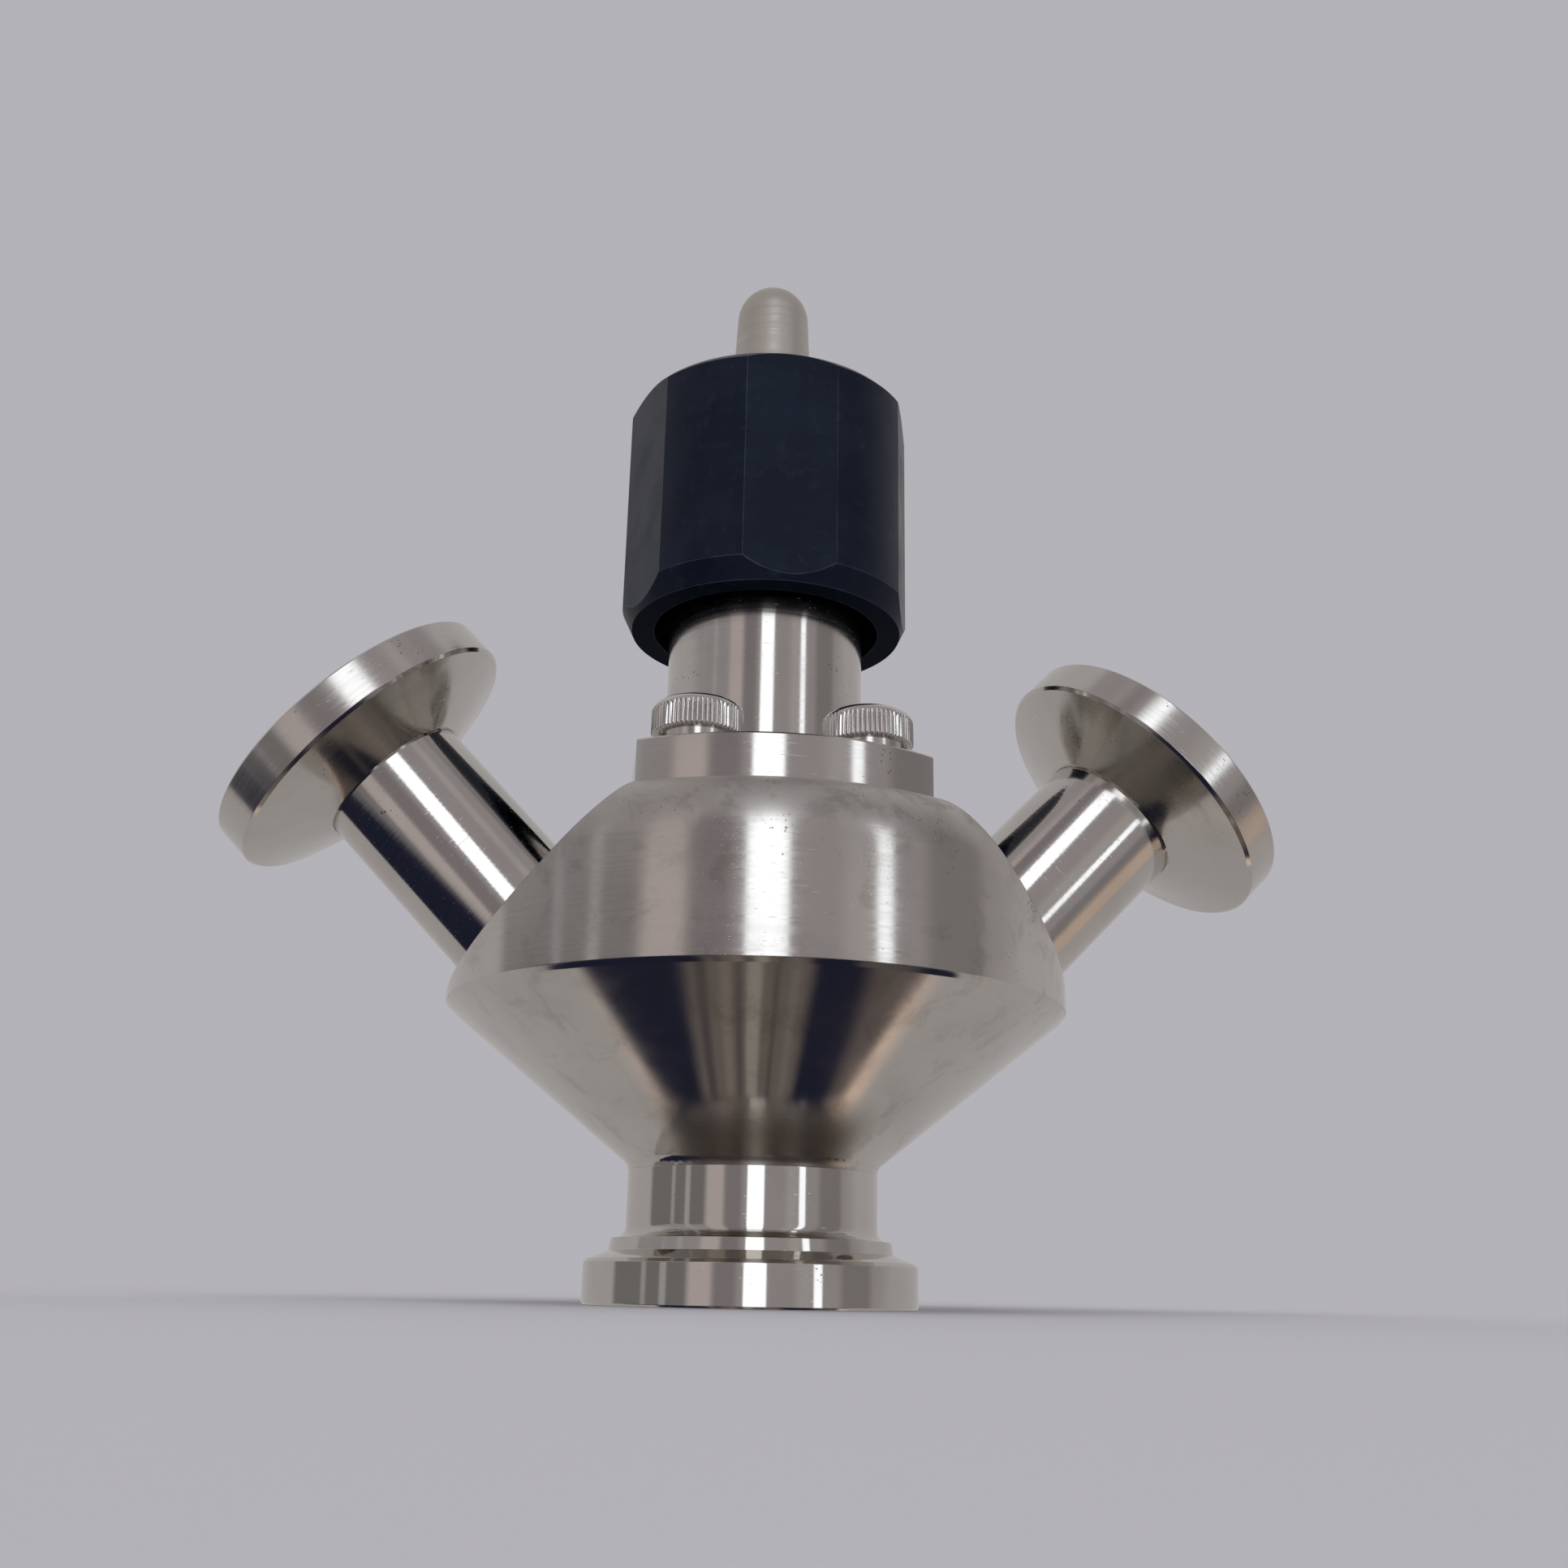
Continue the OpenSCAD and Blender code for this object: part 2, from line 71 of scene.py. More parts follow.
class Graph:
    """Short names for adding and joining shader nodes in one node tree."""

    def __init__(self, tree):
        self.tree = tree
        tree.nodes.clear()

    def node(self, kind, **settings):
        made = self.tree.nodes.new(kind)
        for key, value in settings.items():
            setattr(made, key, value)
        return made

    def feed(self, socket, source):
        """Joins a node output to a socket, or sets the socket to a plain value."""
        if isinstance(source, bpy.types.NodeSocket):
            self.tree.links.new(source, socket)
        elif source is not None:
            socket.default_value = source

    def math(self, operation, a, b=None, clamp=False):
        made = self.node("ShaderNodeMath", operation=operation, use_clamp=clamp)
        for socket, source in zip(made.inputs, (a, b)):
            self.feed(socket, source)
        return made.outputs[0]

    def vector(self, operation, a, b=None):
        made = self.node("ShaderNodeVectorMath", operation=operation)
        for socket, source in zip(made.inputs, (a, b)):
            self.feed(socket, source)
        return made.outputs["Value" if operation in ("LENGTH", "DOT_PRODUCT") else "Vector"]

    def split(self, source):
        made = self.node("ShaderNodeSeparateXYZ")
        self.feed(made.inputs[0], source)
        return made.outputs

    def join(self, x, y, z):
        made = self.node("ShaderNodeCombineXYZ")
        for socket, source in zip(made.inputs, (x, y, z)):
            self.feed(socket, source)
        return made.outputs[0]

    def remap(self, source, low, high, to_low=0.0, to_high=1.0):
        """Carries low..high smoothly to to_low..to_high, held at both ends."""
        made = self.node("ShaderNodeMapRange", interpolation_type="SMOOTHSTEP")
        self.feed(made.inputs["Value"], source)
        self.feed(made.inputs["From Min"], low)
        self.feed(made.inputs["From Max"], high)
        self.feed(made.inputs["To Min"], to_low)
        self.feed(made.inputs["To Max"], to_high)
        return made.outputs[0]

    def window(self, source, low, high, soft):
        """1 between low and high and 0 outside, with edges of the given softness."""
        rise = self.remap(source, low - soft, low + soft)
        fall = self.remap(source, high - soft, high + soft, 1.0, 0.0)
        return self.math("MULTIPLY", rise, fall)

    def mix(self, factor, a, b):
        made = self.node("ShaderNodeMix", data_type="RGBA")
        self.feed(made.inputs[0], factor)
        for socket, source in ((made.inputs[6], a), (made.inputs[7], b)):
            if isinstance(source, tuple):
                source = (*source, 1.0)
            self.feed(socket, source)
        return made.outputs[2]

    def noise(self, where, scale=1.0, detail=2.0, roughness=0.5, distortion=0.0):
        made = self.node("ShaderNodeTexNoise")
        self.feed(made.inputs["Vector"], where)
        made.inputs["Scale"].default_value = scale
        made.inputs["Detail"].default_value = detail
        made.inputs["Roughness"].default_value = roughness
        made.inputs["Distortion"].default_value = distortion
        return made.outputs["Fac"]

    def cells(self, where, scale):
        made = self.node("ShaderNodeTexVoronoi")
        self.feed(made.inputs["Vector"], where)
        made.inputs["Scale"].default_value = scale
        return made.outputs["Distance"]

    def bump(self, height, depth, normal=None):
        """Bends the shading normal; depth is the height's full swing in metres."""
        made = self.node("ShaderNodeBump")
        made.inputs["Strength"].default_value = 1.0
        made.inputs["Distance"].default_value = depth
        self.feed(made.inputs["Height"], height)
        self.feed(made.inputs["Normal"], normal)
        return made.outputs[0]

    def place(self):
        """Position on the piece in the shared frame at rest, in metres."""
        return self.node("ShaderNodeTexCoord").outputs["Object"]


# ---------------------------------------------------------------- the world

def smooth_panel(g, colour, azimuth, elevation, panel):
    """Lays one soft-edged panel of the room over the colour so far."""
    (left, right), (low, high), soft, tint = panel
    across = g.window(azimuth, left, right, soft)
    upright = g.window(elevation, low, high, 6.0)
    return g.mix(g.math("MULTIPLY", across, upright), colour, tint)


# The room that the steel reflects. Azimuth 0 is the front, + to the right; degrees.
# (left, right), (low, high), softness of the sides, colour
ROOM = (
    ((-95, 95), (-20, 95), 12, (0.37, 0.345, 0.36)),       # grey front half of the room
    ((56, 81), (-20, 60), 4, (0.25, 0.235, 0.24)),         # dim corner on the right
    ((71, 94), (-40, -13), 6, (0.60, 0.475, 0.395)),       # warm end of the table, low on the right
    ((-110, -49), (-20, 14), 3, (0.21, 0.20, 0.20)),       # dark shelves on the left
    ((-84, -80), (-20, 60), 1, (0.38, 0.37, 0.39)),        # two light uprights in them
    ((-69, -64), (-20, 60), 1, (0.42, 0.42, 0.43)),
    ((-48, -32), (-20, 60), 3, (0.55, 0.49, 0.49)),        # warm wall
    ((-31, -16), (-20, 60), 3, (0.26, 0.235, 0.25)),       # dark doorway
    ((24, 35), (-20, 60), 4, (0.46, 0.435, 0.44)),         # brighter wall by the lamps
    ((-11, 4), (-24, 48), 0.7, (1.75, 1.82, 1.95)),        # long ceiling lamp
    ((36, 42), (-20, 36), 0.7, (1.60, 1.68, 1.80)),        # second lamp
)


# What lies straight below, as strips across it: (left, right) as x over depth, softness, colour
BELOW = (
    ((-0.235, 0.19), 0.030, (0.155, 0.132, 0.122)),        # arms in front of dark clothing
    ((-0.200, -0.165), 0.012, (0.080, 0.072, 0.075)),
    ((-0.120, -0.085), 0.012, (0.215, 0.185, 0.165)),
    ((-0.070, -0.045), 0.010, (0.100, 0.088, 0.085)),
    ((-0.030, 0.020), 0.010, (0.300, 0.280, 0.255)),
    ((0.060, 0.080), 0.010, (0.095, 0.085, 0.085)),
    ((0.120, 0.150), 0.012, (0.190, 0.165, 0.155)),
    ((0.400, 0.700), 0.050, (0.120, 0.102, 0.100)),
)
NAVY = (0.016, 0.018, 0.038)
PEACH = (0.88, 0.67, 0.55)
# The pale table behind the valve ends below along this slanted plane.
TABLE_TILT = (0.14, 0.940, 0.312)


def lay_below(g, colour, direction, elevation):
    """Dark clothing and arms below the valve, edged by the warm end of the table."""
    x, _, z = g.split(direction)
    side = g.math("DIVIDE", x, g.math("MAXIMUM", g.math("MULTIPLY", z, -1.0), 0.05))
    beyond = g.vector("DOT_PRODUCT", direction, TABLE_TILT)
    low = g.remap(elevation, -13, -25)
    steep = g.remap(elevation, -50, -62)
    edge = g.math("MULTIPLY", g.window(beyond, -0.01, 0.095, 0.02), steep)
    glow = g.remap(side, -0.3, 0.3, 0.45, 1.0)
    colour = g.mix(g.math("MULTIPLY", edge, glow), colour, PEACH)
    dark = g.math("MULTIPLY", g.remap(beyond, 0.02, -0.03), low)
    colour = g.mix(dark, colour, NAVY)
    for (left, right), soft, tint in BELOW:
        strip = g.math("MULTIPLY", g.window(side, left, right, soft), steep)
        colour = g.mix(g.math("MULTIPLY", strip, dark), colour, tint)
    return colour


def make_world():
    world = bpy.data.worlds.new("soft_room")
    bpy.context.scene.world = world
    world.use_nodes = True
    g = Graph(world.node_tree)
    direction = g.node("ShaderNodeTexCoord").outputs["Generated"]
    x, y, z = g.split(direction)
    turn = g.math("ARCTAN2", x, g.math("MULTIPLY", y, -1.0))
    azimuth = g.math("MULTIPLY", turn, math.degrees(1.0))
    elevation = g.math("MULTIPLY", g.math("ARCSINE", z), math.degrees(1.0))
    colour = g.mix(g.remap(elevation, -60, 60), (0.44, 0.42, 0.42), (0.50, 0.485, 0.49))
    colour = lay_below(g, colour, direction, elevation)
    for panel in ROOM:
        colour = smooth_panel(g, colour, azimuth, elevation, panel)
    room = g.node("ShaderNodeBackground")
    g.feed(room.inputs["Color"], colour)
    backdrop = g.node("ShaderNodeBackground")
    g.feed(backdrop.inputs["Color"], (*STAGE_GREY, 1.0))
    seen = g.node("ShaderNodeLightPath").outputs["Is Camera Ray"]
    both = g.node("ShaderNodeMixShader")
    g.feed(both.inputs[0], seen)
    g.feed(both.inputs[1], room.outputs[0])
    g.feed(both.inputs[2], backdrop.outputs[0])
    out = g.node("ShaderNodeOutputWorld")
    g.feed(out.inputs["Surface"], both.outputs[0])


# ---------------------------------------------------------------- materials

def new_material(name):
    """A material with a Principled shader; returns the material, graph and shader."""
    material = bpy.data.materials.new(name)
    material.use_nodes = True
    g = Graph(material.node_tree)
    shader = g.node("ShaderNodeBsdfPrincipled")
    out = g.node("ShaderNodeOutputMaterial")
    g.feed(out.inputs["Surface"], shader.outputs[0])
    return material, g, shader


def axis_frame(g, mount=None):
    """Coordinates with Z along the valve, or along a side port named by its mount."""
    where = g.place()
    if mount is None:
        return where
    x, _, z = MOUNTS[mount]["axis"]
    px, _, pz = MOUNTS[mount]["pos_m"]
    turned = g.node("ShaderNodeMapping", vector_type="TEXTURE")
    g.feed(turned.inputs["Vector"], where)
    turned.inputs["Location"].default_value = (0, 0, pz - px * z / x)
    turned.inputs["Rotation"].default_value = (0, math.atan2(x, z), 0)
    return turned.outputs[0]


def round_the_axis(g, mount=None):
    """Direction round the turning axis at each point: the way turning marks run."""
    where = g.place()
    if mount is None:
        return g.vector("CROSS_PRODUCT", (0.0, 0.0, 1.0), where)
    axis = tuple(MOUNTS[mount]["axis"])
    start = tuple(MOUNTS[mount]["pos_m"])
    return g.vector("CROSS_PRODUCT", axis, g.vector("SUBTRACT", where, start))


def turning_marks(g, local, pitch, wander):
    """Fine rings left by the lathe; wander is how much they change round the piece."""
    x, y, z = g.split(local)
    along = g.math("DIVIDE", z, pitch)
    rings = g.join(g.math("MULTIPLY", x, wander), g.math("MULTIPLY", y, wander), along)
    return g.noise(rings, 1.0, 3.0, 0.6)


def scratches(g, local, length, angle, cover):
    """Thin straight scratches: 1 in a scratch. A larger cover keeps more of them."""
    turned = g.node("ShaderNodeMapping", vector_type="POINT")
    g.feed(turned.inputs["Vector"], local)
    turned.inputs["Rotation"].default_value = (angle, angle * 0.7, angle * 1.3)
    turned.inputs["Scale"].default_value = (1 / length, 70 / length, 70 / length)
    lines = g.noise(turned.outputs[0], 1.0, 0.0, 0.4)
    return g.remap(lines, 0.84 - cover, 0.88 - cover)


def pits(g, local, spacing, cover):
    """Small dents and dirt specks: 1 in a pit. They gather where a slow noise is high."""
    centre = g.cells(local, 1 / spacing)
    gather = g.remap(g.noise(local, 240.0, 3.0, 0.6), 0.62 - cover, 0.80 - cover, 0.0, 0.33)
    return g.remap(g.math("SUBTRACT", gather, centre), -0.04, 0.04)


def drift(g, local, run, step):
    """Slow waviness that changes from ring to ring, so bands of light get ragged sides."""
    x, y, z = g.split(local)
    where = g.join(g.math("DIVIDE", x, run), g.math("DIVIDE", y, run), g.math("DIVIDE", z, step))
    return g.noise(where, 1.0, 2.0, 0.6)


def blank_steel(name, mount=None, bevel=0.08 * MM):
    """A metal shader with softened edges, ready for its own finish."""
    material, g, shader = new_material(name)
    g.feed(shader.inputs["Metallic"], 1.0)
    rounded = g.node("ShaderNodeBevel", samples=4)
    rounded.inputs["Radius"].default_value = bevel
    return material, g, shader, axis_frame(g, mount), rounded.outputs[0]


def colour_steel(g, shader, local, tint, marks):
    """Steel colour that dulls a little in patches and goes dark in the marks it is given, here the pits."""
    patches = g.noise(local, 160.0, 4.0, 0.6)
    dull = tuple(0.93 * c for c in tint)
    dirty = tuple(0.45 * c for c in tint)
    clean = g.mix(g.remap(patches, 0.4, 0.75), tint, dull)
    g.feed(shader.inputs["Base Color"], g.mix(marks, clean, dirty))
    return patches


def front_share(g, local):
    """1 where the side faces the front, fading to 0 about 40 degrees to either side."""
    x, y, _ = g.split(local)
    reach = g.vector("LENGTH", g.join(x, y, 0.0))
    return g.remap(g.math("DIVIDE", y, reach), -0.72, -0.92)


def stained_steel(g, shader, local, specks, front_low_band, matte):
    """Body colour: grey-brown stains, strongest where matte, and a brown tint low on the body on its front
    side.
    """
    patches = g.noise(local, 160.0, 4.0, 0.6)
    stains = g.noise(local, 330.0, 6.0, 0.7, 0.4)
    stained = g.math("MULTIPLY", g.remap(stains, 0.50, 0.68), g.math("MULTIPLY", matte, 0.60))
    clean = g.mix(g.remap(patches, 0.4, 0.75), STEEL, tuple(0.90 * c for c in STEEL))
    marked = g.mix(stained, clean, STAIN)
    tinted = g.mix(g.math("MULTIPLY", front_low_band, 0.72), marked, FRONT_LOW_BROWN)
    dirty = tuple(0.45 * c for c in STEEL)
    g.feed(shader.inputs["Base Color"], g.mix(specks, tinted, dirty))
    return patches


def stretch_light(g, shader, mount, amount):
    """Turning marks spread reflections along the axis, so bands of light stay upright."""
    g.feed(shader.inputs["Anisotropic"], amount)
    g.feed(shader.inputs["Anisotropic Rotation"], 0.25)
    g.feed(shader.inputs["Tangent"], round_the_axis(g, mount))


def steel(name, roughness, mount=None, pitch=0.2 * MM, marks=0.6e-6, wander=60.0,
          streak=0.0, stretch=0.0, tint=STEEL, blotch=0.03, pitted=0.02, bevel=0.08 * MM):
    """Stainless steel with lathe marks, blotches, scratches, pits and a broken edge."""
    material, g, shader, local, normal = blank_steel(name, mount, bevel)
    rings = turning_marks(g, local, pitch, wander)
    long_ones = scratches(g, local, 8 * MM, 0.5, 0.035)
    scratched = g.math("MAXIMUM", long_ones, scratches(g, local, 5 * MM, 2.1, 0.03))
    holes = pits(g, local, 0.4 * MM, pitted)
    patches = colour_steel(g, shader, local, tint, g.math("MULTIPLY", holes, 0.7))
    grain = g.remap(rings, 0.3, 0.7, 0.8 * roughness, 1.2 * roughness)
    cloudy = g.math("ADD", grain, g.remap(patches, 0.35, 0.75, 0.0, blotch))
    marred = g.math("MULTIPLY", g.math("MAXIMUM", scratched, holes), 0.22)
    g.feed(shader.inputs["Roughness"], g.math("ADD", cloudy, marred, clamp=True))
    normal = g.bump(rings, marks, normal)
    if streak:
        normal = g.bump(drift(g, local, 5 * MM, 0.3 * MM), streak, normal)
    dented = g.math("MAXIMUM", g.math("MULTIPLY", scratched, 0.5), holes)
    normal = g.bump(g.math("SUBTRACT", 1.0, dented), 2.5e-6, normal)
    g.feed(shader.inputs["Normal"], normal)
    if stretch:
        stretch_light(g, shader, mount, stretch)
    return material


def body_steel():
    """Three finishes on one piece: polished funnel, finely turned wall, matte shoulder."""
    funnel_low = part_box("valve_body")[0].z
    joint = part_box("valve_body")[1].z
    wall_low = joint - 13.6 * MM
    shoulder_low = joint - 4.9 * MM
    material, g, shader, local, normal = blank_steel("turned_body")
    z = g.split(local)[2]
    wall = g.remap(z, wall_low - 0.1 * MM, wall_low + 0.1 * MM)
    shoulder = g.remap(z, shoulder_low - 0.4 * MM, shoulder_low + 2.2 * MM)
    rings = turning_marks(g, local, 0.2 * MM, 60.0)
    holes = pits(g, local, 0.34 * MM, 0.085)
    long_ones = scratches(g, local, 6 * MM, 0.5, 0.03)
    scratched = g.math("MAXIMUM", long_ones, scratches(g, local, 3 * MM, 2.1, 0.03))
    specks = g.math("MULTIPLY", g.math("MULTIPLY", holes, wall), 0.6)
    # Brown tint and rougher gloss low on the body, kept to the side that faces the front.
    front_low_band = g.remap(z, funnel_low + 6.4 * MM, funnel_low + 3.2 * MM)
    front_low_band = g.math("MULTIPLY", front_low_band, front_share(g, local))
    patches = stained_steel(g, shader, local, specks, front_low_band, g.math("MAXIMUM", shoulder, 0.60))
    turned = g.remap(rings, 0.3, 0.7, 0.13, 0.19)
    polished = g.remap(patches, 0.35, 0.75, 0.065, 0.12)
    polished = g.math("ADD", polished, g.math("MULTIPLY", front_low_band, 0.28))
    matte = g.remap(patches, 0.35, 0.75, 0.34, 0.52)
    rough = g.math("ADD", g.math("MULTIPLY", wall, g.math("SUBTRACT", turned, polished)), polished)
    rough = g.math("ADD", g.math("MULTIPLY", shoulder, g.math("SUBTRACT", matte, rough)), rough)
    marred = g.math("MULTIPLY", g.math("MAXIMUM", scratched, holes), g.math("MULTIPLY", wall, 0.2))
    g.feed(shader.inputs["Roughness"], g.math("ADD", rough, marred, clamp=True))
    normal = g.bump(g.math("MULTIPLY", rings, g.math("ADD", 0.12, wall)), 1.1e-6, normal)
    ragged = g.math("MULTIPLY", drift(g, local, 5 * MM, 0.25 * MM), g.math("ADD", 0.06, wall))
    normal = g.bump(ragged, 4.2e-6, normal)
    dented = g.math("MULTIPLY", g.math("MAXIMUM", g.math("MULTIPLY", scratched, 0.4), holes), wall)
    normal = g.bump(g.math("SUBTRACT", 1.0, dented), 3e-6, normal)
    g.feed(shader.inputs["Normal"], normal)
    stretch_light(g, shader, None, 0.75)
    return material


def knob_plastic():
    """Satin black knob: blue-black, milling marks, smudges, a painted highlight along the edges, dull
    underside.
    """
    material, g, shader = new_material("satin_black")
    where = g.place()
    rounded = g.node("ShaderNodeBevel", samples=8)
    rounded.inputs["Radius"].default_value = 0.12 * MM
    flat = g.node("ShaderNodeNewGeometry").outputs["Normal"]
    edge = g.remap(g.vector("DOT_PRODUCT", rounded.outputs[0], flat), 0.9995, 0.99)
    under = g.remap(g.split(flat)[2], -0.3, -0.7)
    smudge = g.noise(where, 220.0, 5.0, 0.65)
    rubbed = g.noise(where, 900.0, 3.0, 0.6)
    colour = g.mix(g.remap(smudge, 0.35, 0.75), (0.0035, 0.0068, 0.0185), (0.0080, 0.0135, 0.0290))
    colour = g.mix(g.remap(rubbed, 0.55, 0.75, 0.0, 0.25), colour, (0.030, 0.038, 0.055))
    # Lighter colour along the edges is a painted highlight: it stands for the thin bright lines on the edges.
    colour = g.mix(g.math("MULTIPLY", edge, g.remap(smudge, 0.3, 0.7, 0.15, 0.8)), colour, (0.09, 0.10, 0.13))
    g.feed(shader.inputs["Base Color"], colour)
    rough = g.math("ADD", g.remap(smudge, 0.3, 0.8, 0.30, 0.44), g.math("MULTIPLY", under, 0.35))
    g.feed(shader.inputs["Roughness"], g.math("SUBTRACT", rough, g.math("MULTIPLY", edge, 0.06)))
    g.feed(shader.inputs["Specular IOR Level"], g.remap(under, 0.0, 1.0, 0.22, 0.05))
    g.feed(shader.inputs["Specular Tint"], (0.70, 0.85, 1.0, 1.0))
    x, y, z = g.split(where)
    rings = g.join(g.math("MULTIPLY", x, 90.0), g.math("MULTIPLY", y, 90.0), g.math("DIVIDE", z, 0.25 * MM))
    normal = g.bump(g.noise(rings), 0.7e-6, rounded.outputs[0])
    g.feed(shader.inputs["Normal"], g.bump(rubbed, 1.5e-6, normal))
    return material


def plain_procedural(name, colour, roughness, metallic, grain, depth):
    """Inner parts: one colour family with mottling, grain and varied roughness."""
    material, g, shader = new_material(name)
    where = g.place()
    mottle = g.noise(where, 300.0, 4.0, 0.6)
    fine = g.noise(where, grain, 2.0, 0.6)
    darker = tuple(0.86 * c for c in colour)
    g.feed(shader.inputs["Base Color"], g.mix(g.remap(mottle, 0.3, 0.7), colour, darker))
    g.feed(shader.inputs["Metallic"], metallic)
    g.feed(shader.inputs["Roughness"], g.remap(fine, 0.3, 0.7, roughness - 0.06, roughness + 0.06))
    g.feed(shader.inputs["Normal"], g.bump(fine, depth))
    return material


def floor_paint():
    material, g, shader = new_material("pale_floor")
    where = g.place()
    soft = g.noise(where, 40.0, 3.0)
    near = (0.722, 0.727, 0.767)
    far = (0.708, 0.713, 0.753)
    g.feed(shader.inputs["Base Color"], g.mix(soft, near, far))
    g.feed(shader.inputs["Roughness"], 0.9)
    g.feed(shader.inputs["Specular IOR Level"], 0.0)
    return material


def dress(material, *names):
    """Puts a material on carried-over CAD nodes."""
    for name in names:
        node = NODES[name]
        for index in range(len(node.material_slots)):
            node.material_slots[index].material = material


def dress_all():
    neck = steel("polished_ferrule", 0.05, pitch=0.30 * MM, marks=0.12e-6, blotch=0.02)
    dress(neck, "process_ferrule")
    dress(body_steel(), "valve_body")
    bonnet = steel("turned_bonnet", 0.13, marks=0.7e-6, streak=2.3e-6, stretch=0.85, pitted=0.05)
    dress(bonnet, "bonnet")
    for side in ("left", "right"):
        mount = side + "_port_bore"
        tube = steel("polished_tube_" + side, 0.075, mount, marks=0.4e-6, streak=2.5e-6)
        dress(tube, side + "_port_tube")
        port = steel("satin_port_" + side, 0.13, mount, marks=0.5e-6, streak=1.2e-6, stretch=0.6)
        dress(port, side + "_port_ferrule")
    dress(steel("washer_steel", 0.14, marks=0.2e-6), "lock_washers", "knob_washer")
    inner = steel("inner_steel", 0.28)
    dress(inner, "membrane_stud", "guide_pin", "pusher", "swivel_pins", "spindle")
    dress(steel("insert_steel", 0.30), "knob_insert")
    dress(steel("satin_dome", 0.52, tint=SATIN_STEEL, marks=0.8e-6), "dome_nut")
    dress(knob_plastic(), "knob")
    dress(plain_procedural("spring_steel", (0.10, 0.10, 0.11), 0.4, 1.0, 4000.0, 2e-6), "circlip")
    bronze = plain_procedural("bronze", (0.60, 0.40, 0.19), 0.32, 1.0, 3000.0, 2e-6)
    dress(bronze, "thrust_washer", "stem_nut")
    dress(plain_procedural("silicone", (0.78, 0.77, 0.72), 0.55, 0.0, 2500.0, 6e-6), "membrane")
    rubber = plain_procedural("seal_rubber", (0.015, 0.015, 0.016), 0.5, 0.0, 2500.0, 6e-6)
    dress(rubber, "pusher_o_ring")
    bush = plain_procedural("fluoropolymer", (0.82, 0.80, 0.75), 0.45, 0.0, 2500.0, 4e-6)
    dress(bush, "guide_bush")


# ---------------------------------------------------------------- knurled screws

HEAD_R = 3.45 * MM
HEAD_H = 2.6 * MM
SHANK_R = 2.0 * MM
SOCKET_AF = 3.0 * MM
SOCKET_DEPTH = 1.6 * MM
TOOTH_COUNT = 57
TOOTH_STEPS = 6
TOOTH_DEPTH = 0.17 * MM


def head_profile(top):
    """Rings of a screw from the socket floor outwards and down to the shank's end.

    Each ring is (radius, height, share of full knurl); radius None is the hex socket.
    """
    foot = top - HEAD_H
    corner = 0.9 * MM
    rings = [(0.3 * MM, top - SOCKET_DEPTH, 0), (None, top - SOCKET_DEPTH, 0), (None, top - 0.08 * MM, 0)]
    rings.append((1.95 * MM, top, 0))
    for step in range(7):
        angle = math.radians(90 - 75 * step / 6)
        radius = HEAD_R - corner + corner * math.cos(angle)
        rings.append((radius, top - corner + corner * math.sin(angle), 0))
    rings.append((HEAD_R - 0.02 * MM, top - corner - 0.06 * MM, 1))
    rings.append((HEAD_R, foot + 0.22 * MM, 1))
    rings.append((HEAD_R - 0.06 * MM, foot + 0.12 * MM, 0.3))
    rings.append((HEAD_R - 0.22 * MM, foot, 0))
    rings.append((SHANK_R, foot, 0))
    rings.append((SHANK_R, foot - 12.4 * MM, 0))
    rings.append((SHANK_R - 0.3 * MM, foot - 12.7 * MM, 0))
    return rings


def ring_radius(radius, knurl, angle):
    """Radius at one angle: the hexagon of the socket, or a circle with knurl teeth."""
    if radius is None:
        sixth = math.radians(60)
        return SOCKET_AF / 2 / math.cos((angle + sixth / 2) % sixth - sixth / 2)
    valley = (0.5 - 0.5 * math.cos(TOOTH_COUNT * angle)) ** 1.6
    return radius - knurl * TOOTH_DEPTH * valley


def add_screw(shape, x, y, top):
    count = TOOTH_COUNT * TOOTH_STEPS
    loops = []
    for radius, height, knurl in head_profile(top):
        loop = []
        for step in range(count):
            angle = 2 * math.pi * step / count
            reach = ring_radius(radius, knurl, angle)
            loop.append(shape.verts.new((x + reach * math.cos(angle), y + reach * math.sin(angle), height)))
        loops.append(loop)
    for inner, outer in zip(loops, loops[1:]):
        for step in range(count):
            after = (step + 1) % count
            shape.faces.new((inner[step], outer[step], outer[after], inner[after]))
    shape.faces.new(loops[0])
    shape.faces.new(reversed(loops[-1]))


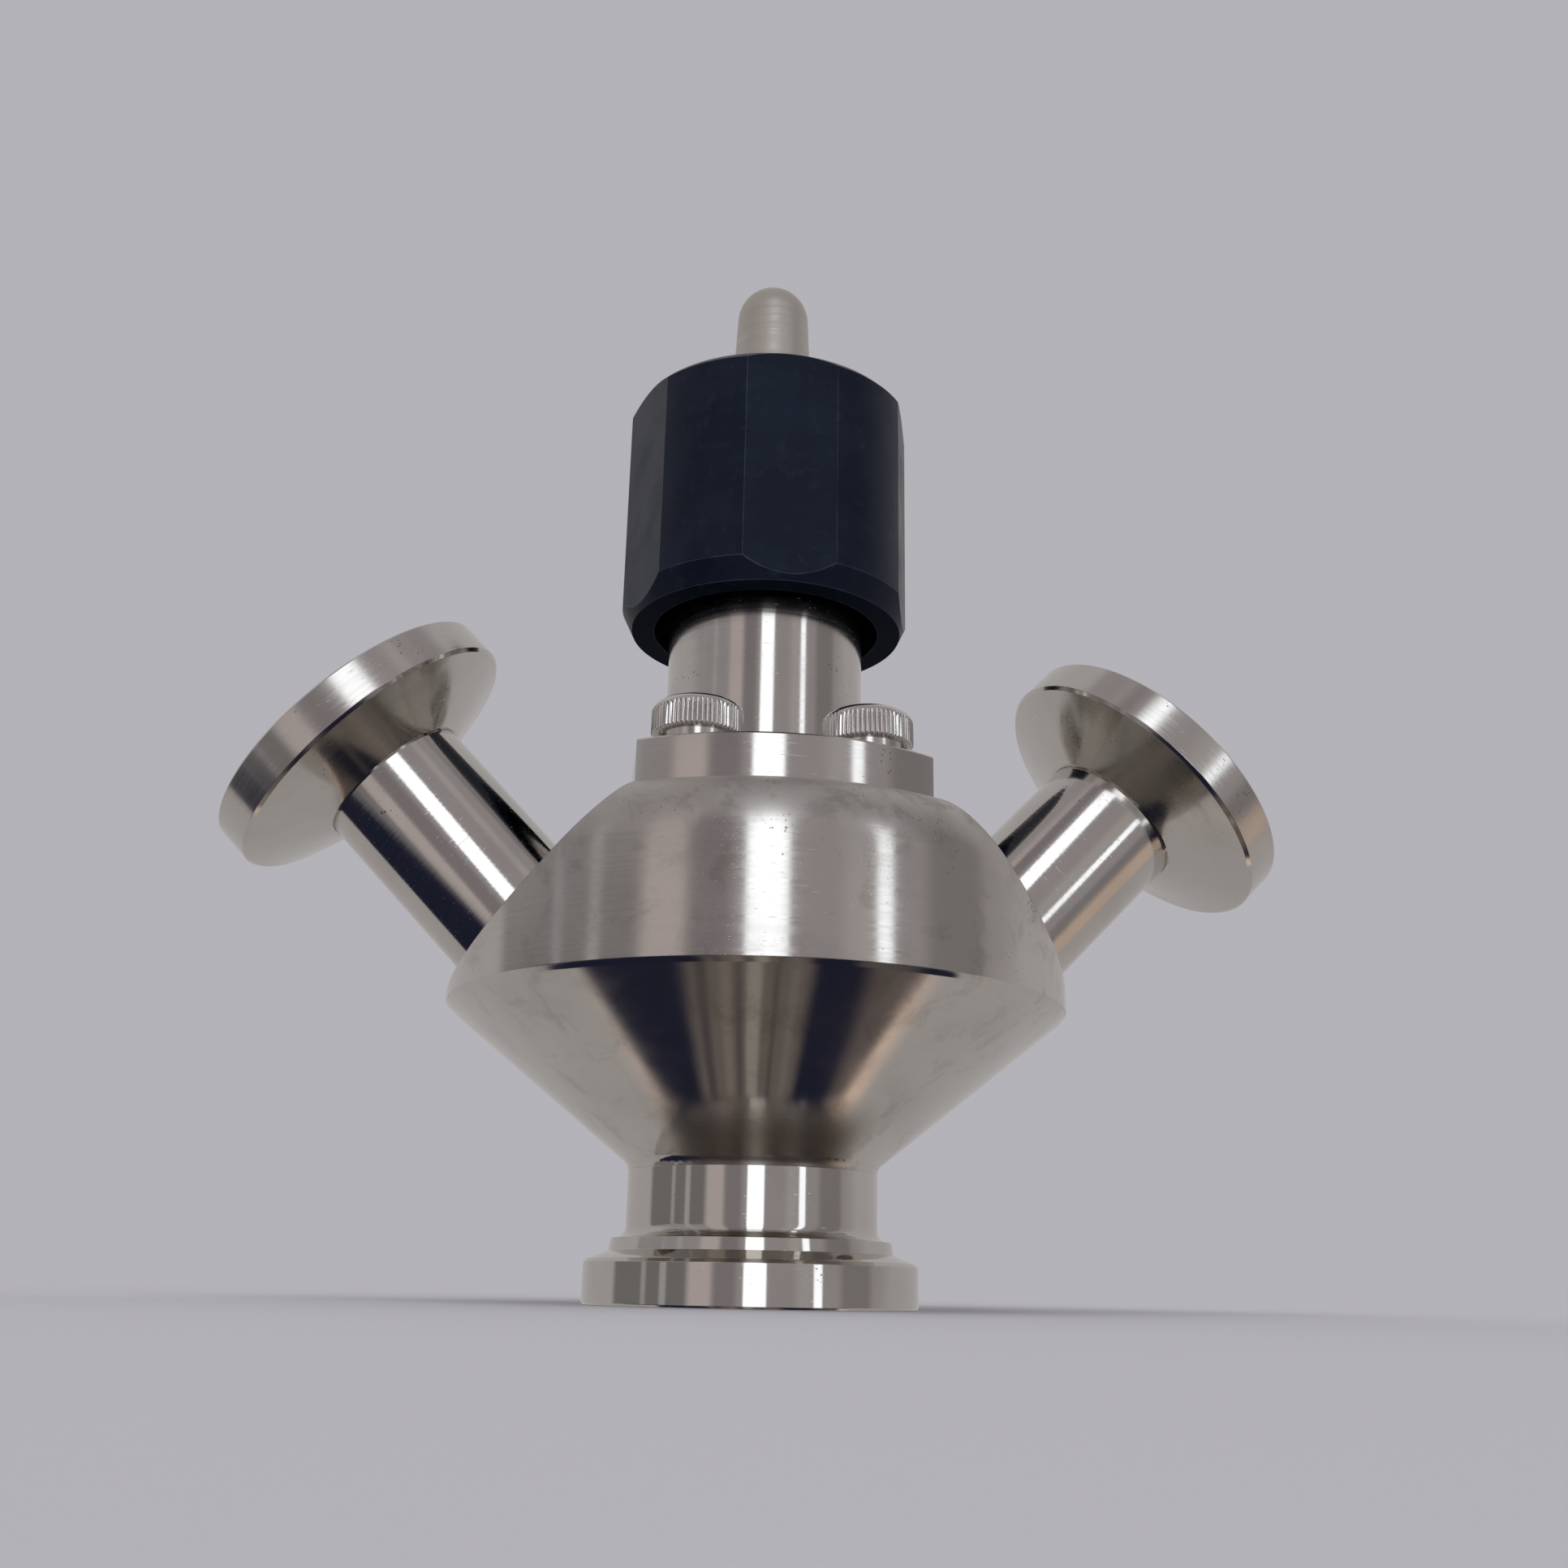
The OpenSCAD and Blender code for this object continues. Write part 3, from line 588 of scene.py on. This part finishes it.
def make_screws():
    """The four cap screws with straight-knurled heads, in place of their plain CAD shape."""
    low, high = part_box("bonnet_screws")
    across = high.x - HEAD_R
    deep = high.y - HEAD_R
    shape = bmesh.new()
    for x in (-across, across):
        for y in (-deep, deep):
            add_screw(shape, x, y, high.z)
    bmesh.ops.recalc_face_normals(shape, faces=shape.faces)
    for face in shape.faces:
        face.smooth = True
    for edge in shape.edges:
        edge.smooth = edge.calc_face_angle(0.0) < math.radians(38)
    mesh = bpy.data.meshes.new("knurled_screws")
    shape.to_mesh(mesh)
    shape.free()
    screws = bpy.data.objects.new("knurled_screws", mesh)
    bpy.context.scene.collection.objects.link(screws)
    mesh.materials.append(steel("bright_screw", 0.13, marks=0.2e-6, tint=BRIGHT_STEEL, bevel=0.03 * MM))
    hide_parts("bonnet_screws")
    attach(screws, "valve")


# ---------------------------------------------------------------- stage and camera

def make_floor():
    mesh = bpy.data.meshes.new("floor")
    shape = bmesh.new()
    bmesh.ops.create_circle(shape, cap_ends=True, radius=3.0, segments=96)
    shape.to_mesh(mesh)
    shape.free()
    floor = bpy.data.objects.new("floor", mesh)
    bpy.context.scene.collection.objects.link(floor)
    floor.location.z = -0.02 * MM
    floor.visible_glossy = False
    mesh.materials.append(floor_paint())


def make_light():
    """A broad soft sun from above the left shoulder; the room's own glow does the rest."""
    sun = bpy.data.lights.new("soft_sun", "SUN")
    sun.energy = 0.62
    sun.angle = math.radians(50)
    made = bpy.data.objects.new("soft_sun", sun)
    bpy.context.scene.collection.objects.link(made)
    made.rotation_euler = Vector((0.25, 0.45, -1.0)).to_track_quat("-Z", "Y").to_euler()
    made.visible_glossy = False


def make_camera():
    """The photograph's viewpoint, low in front and close, looking up a little."""
    azimuth, elevation, roll = (math.radians(a) for a in (7.16, 17.72, 1.10))
    forward = Vector((math.sin(azimuth) * math.cos(elevation),
                      math.cos(azimuth) * math.cos(elevation),
                      math.sin(elevation)))
    level = Vector((math.cos(azimuth), -math.sin(azimuth), 0.0))
    upright = level.cross(forward)
    right = math.cos(roll) * level + math.sin(roll) * upright
    up = math.cos(roll) * upright - math.sin(roll) * level
    data = bpy.data.cameras.new("camera")
    data.sensor_width = 36.0
    data.lens = 36.1
    data.clip_start = 0.002
    data.clip_end = 20.0
    camera = bpy.data.objects.new("camera", data)
    bpy.context.scene.collection.objects.link(camera)
    turn = Matrix((right, up, -forward)).transposed().to_4x4()
    camera.matrix_world = Matrix.Translation((-13.66 * MM, -123.27 * MM, 1.51 * MM)) @ turn
    bpy.context.scene.camera = camera


def write_sizes():
    import json


bpy.context.scene.view_settings.view_transform = "Standard"
make_camera()
make_world()
make_floor()
make_light()
dress_all()
make_screws()
write_sizes()
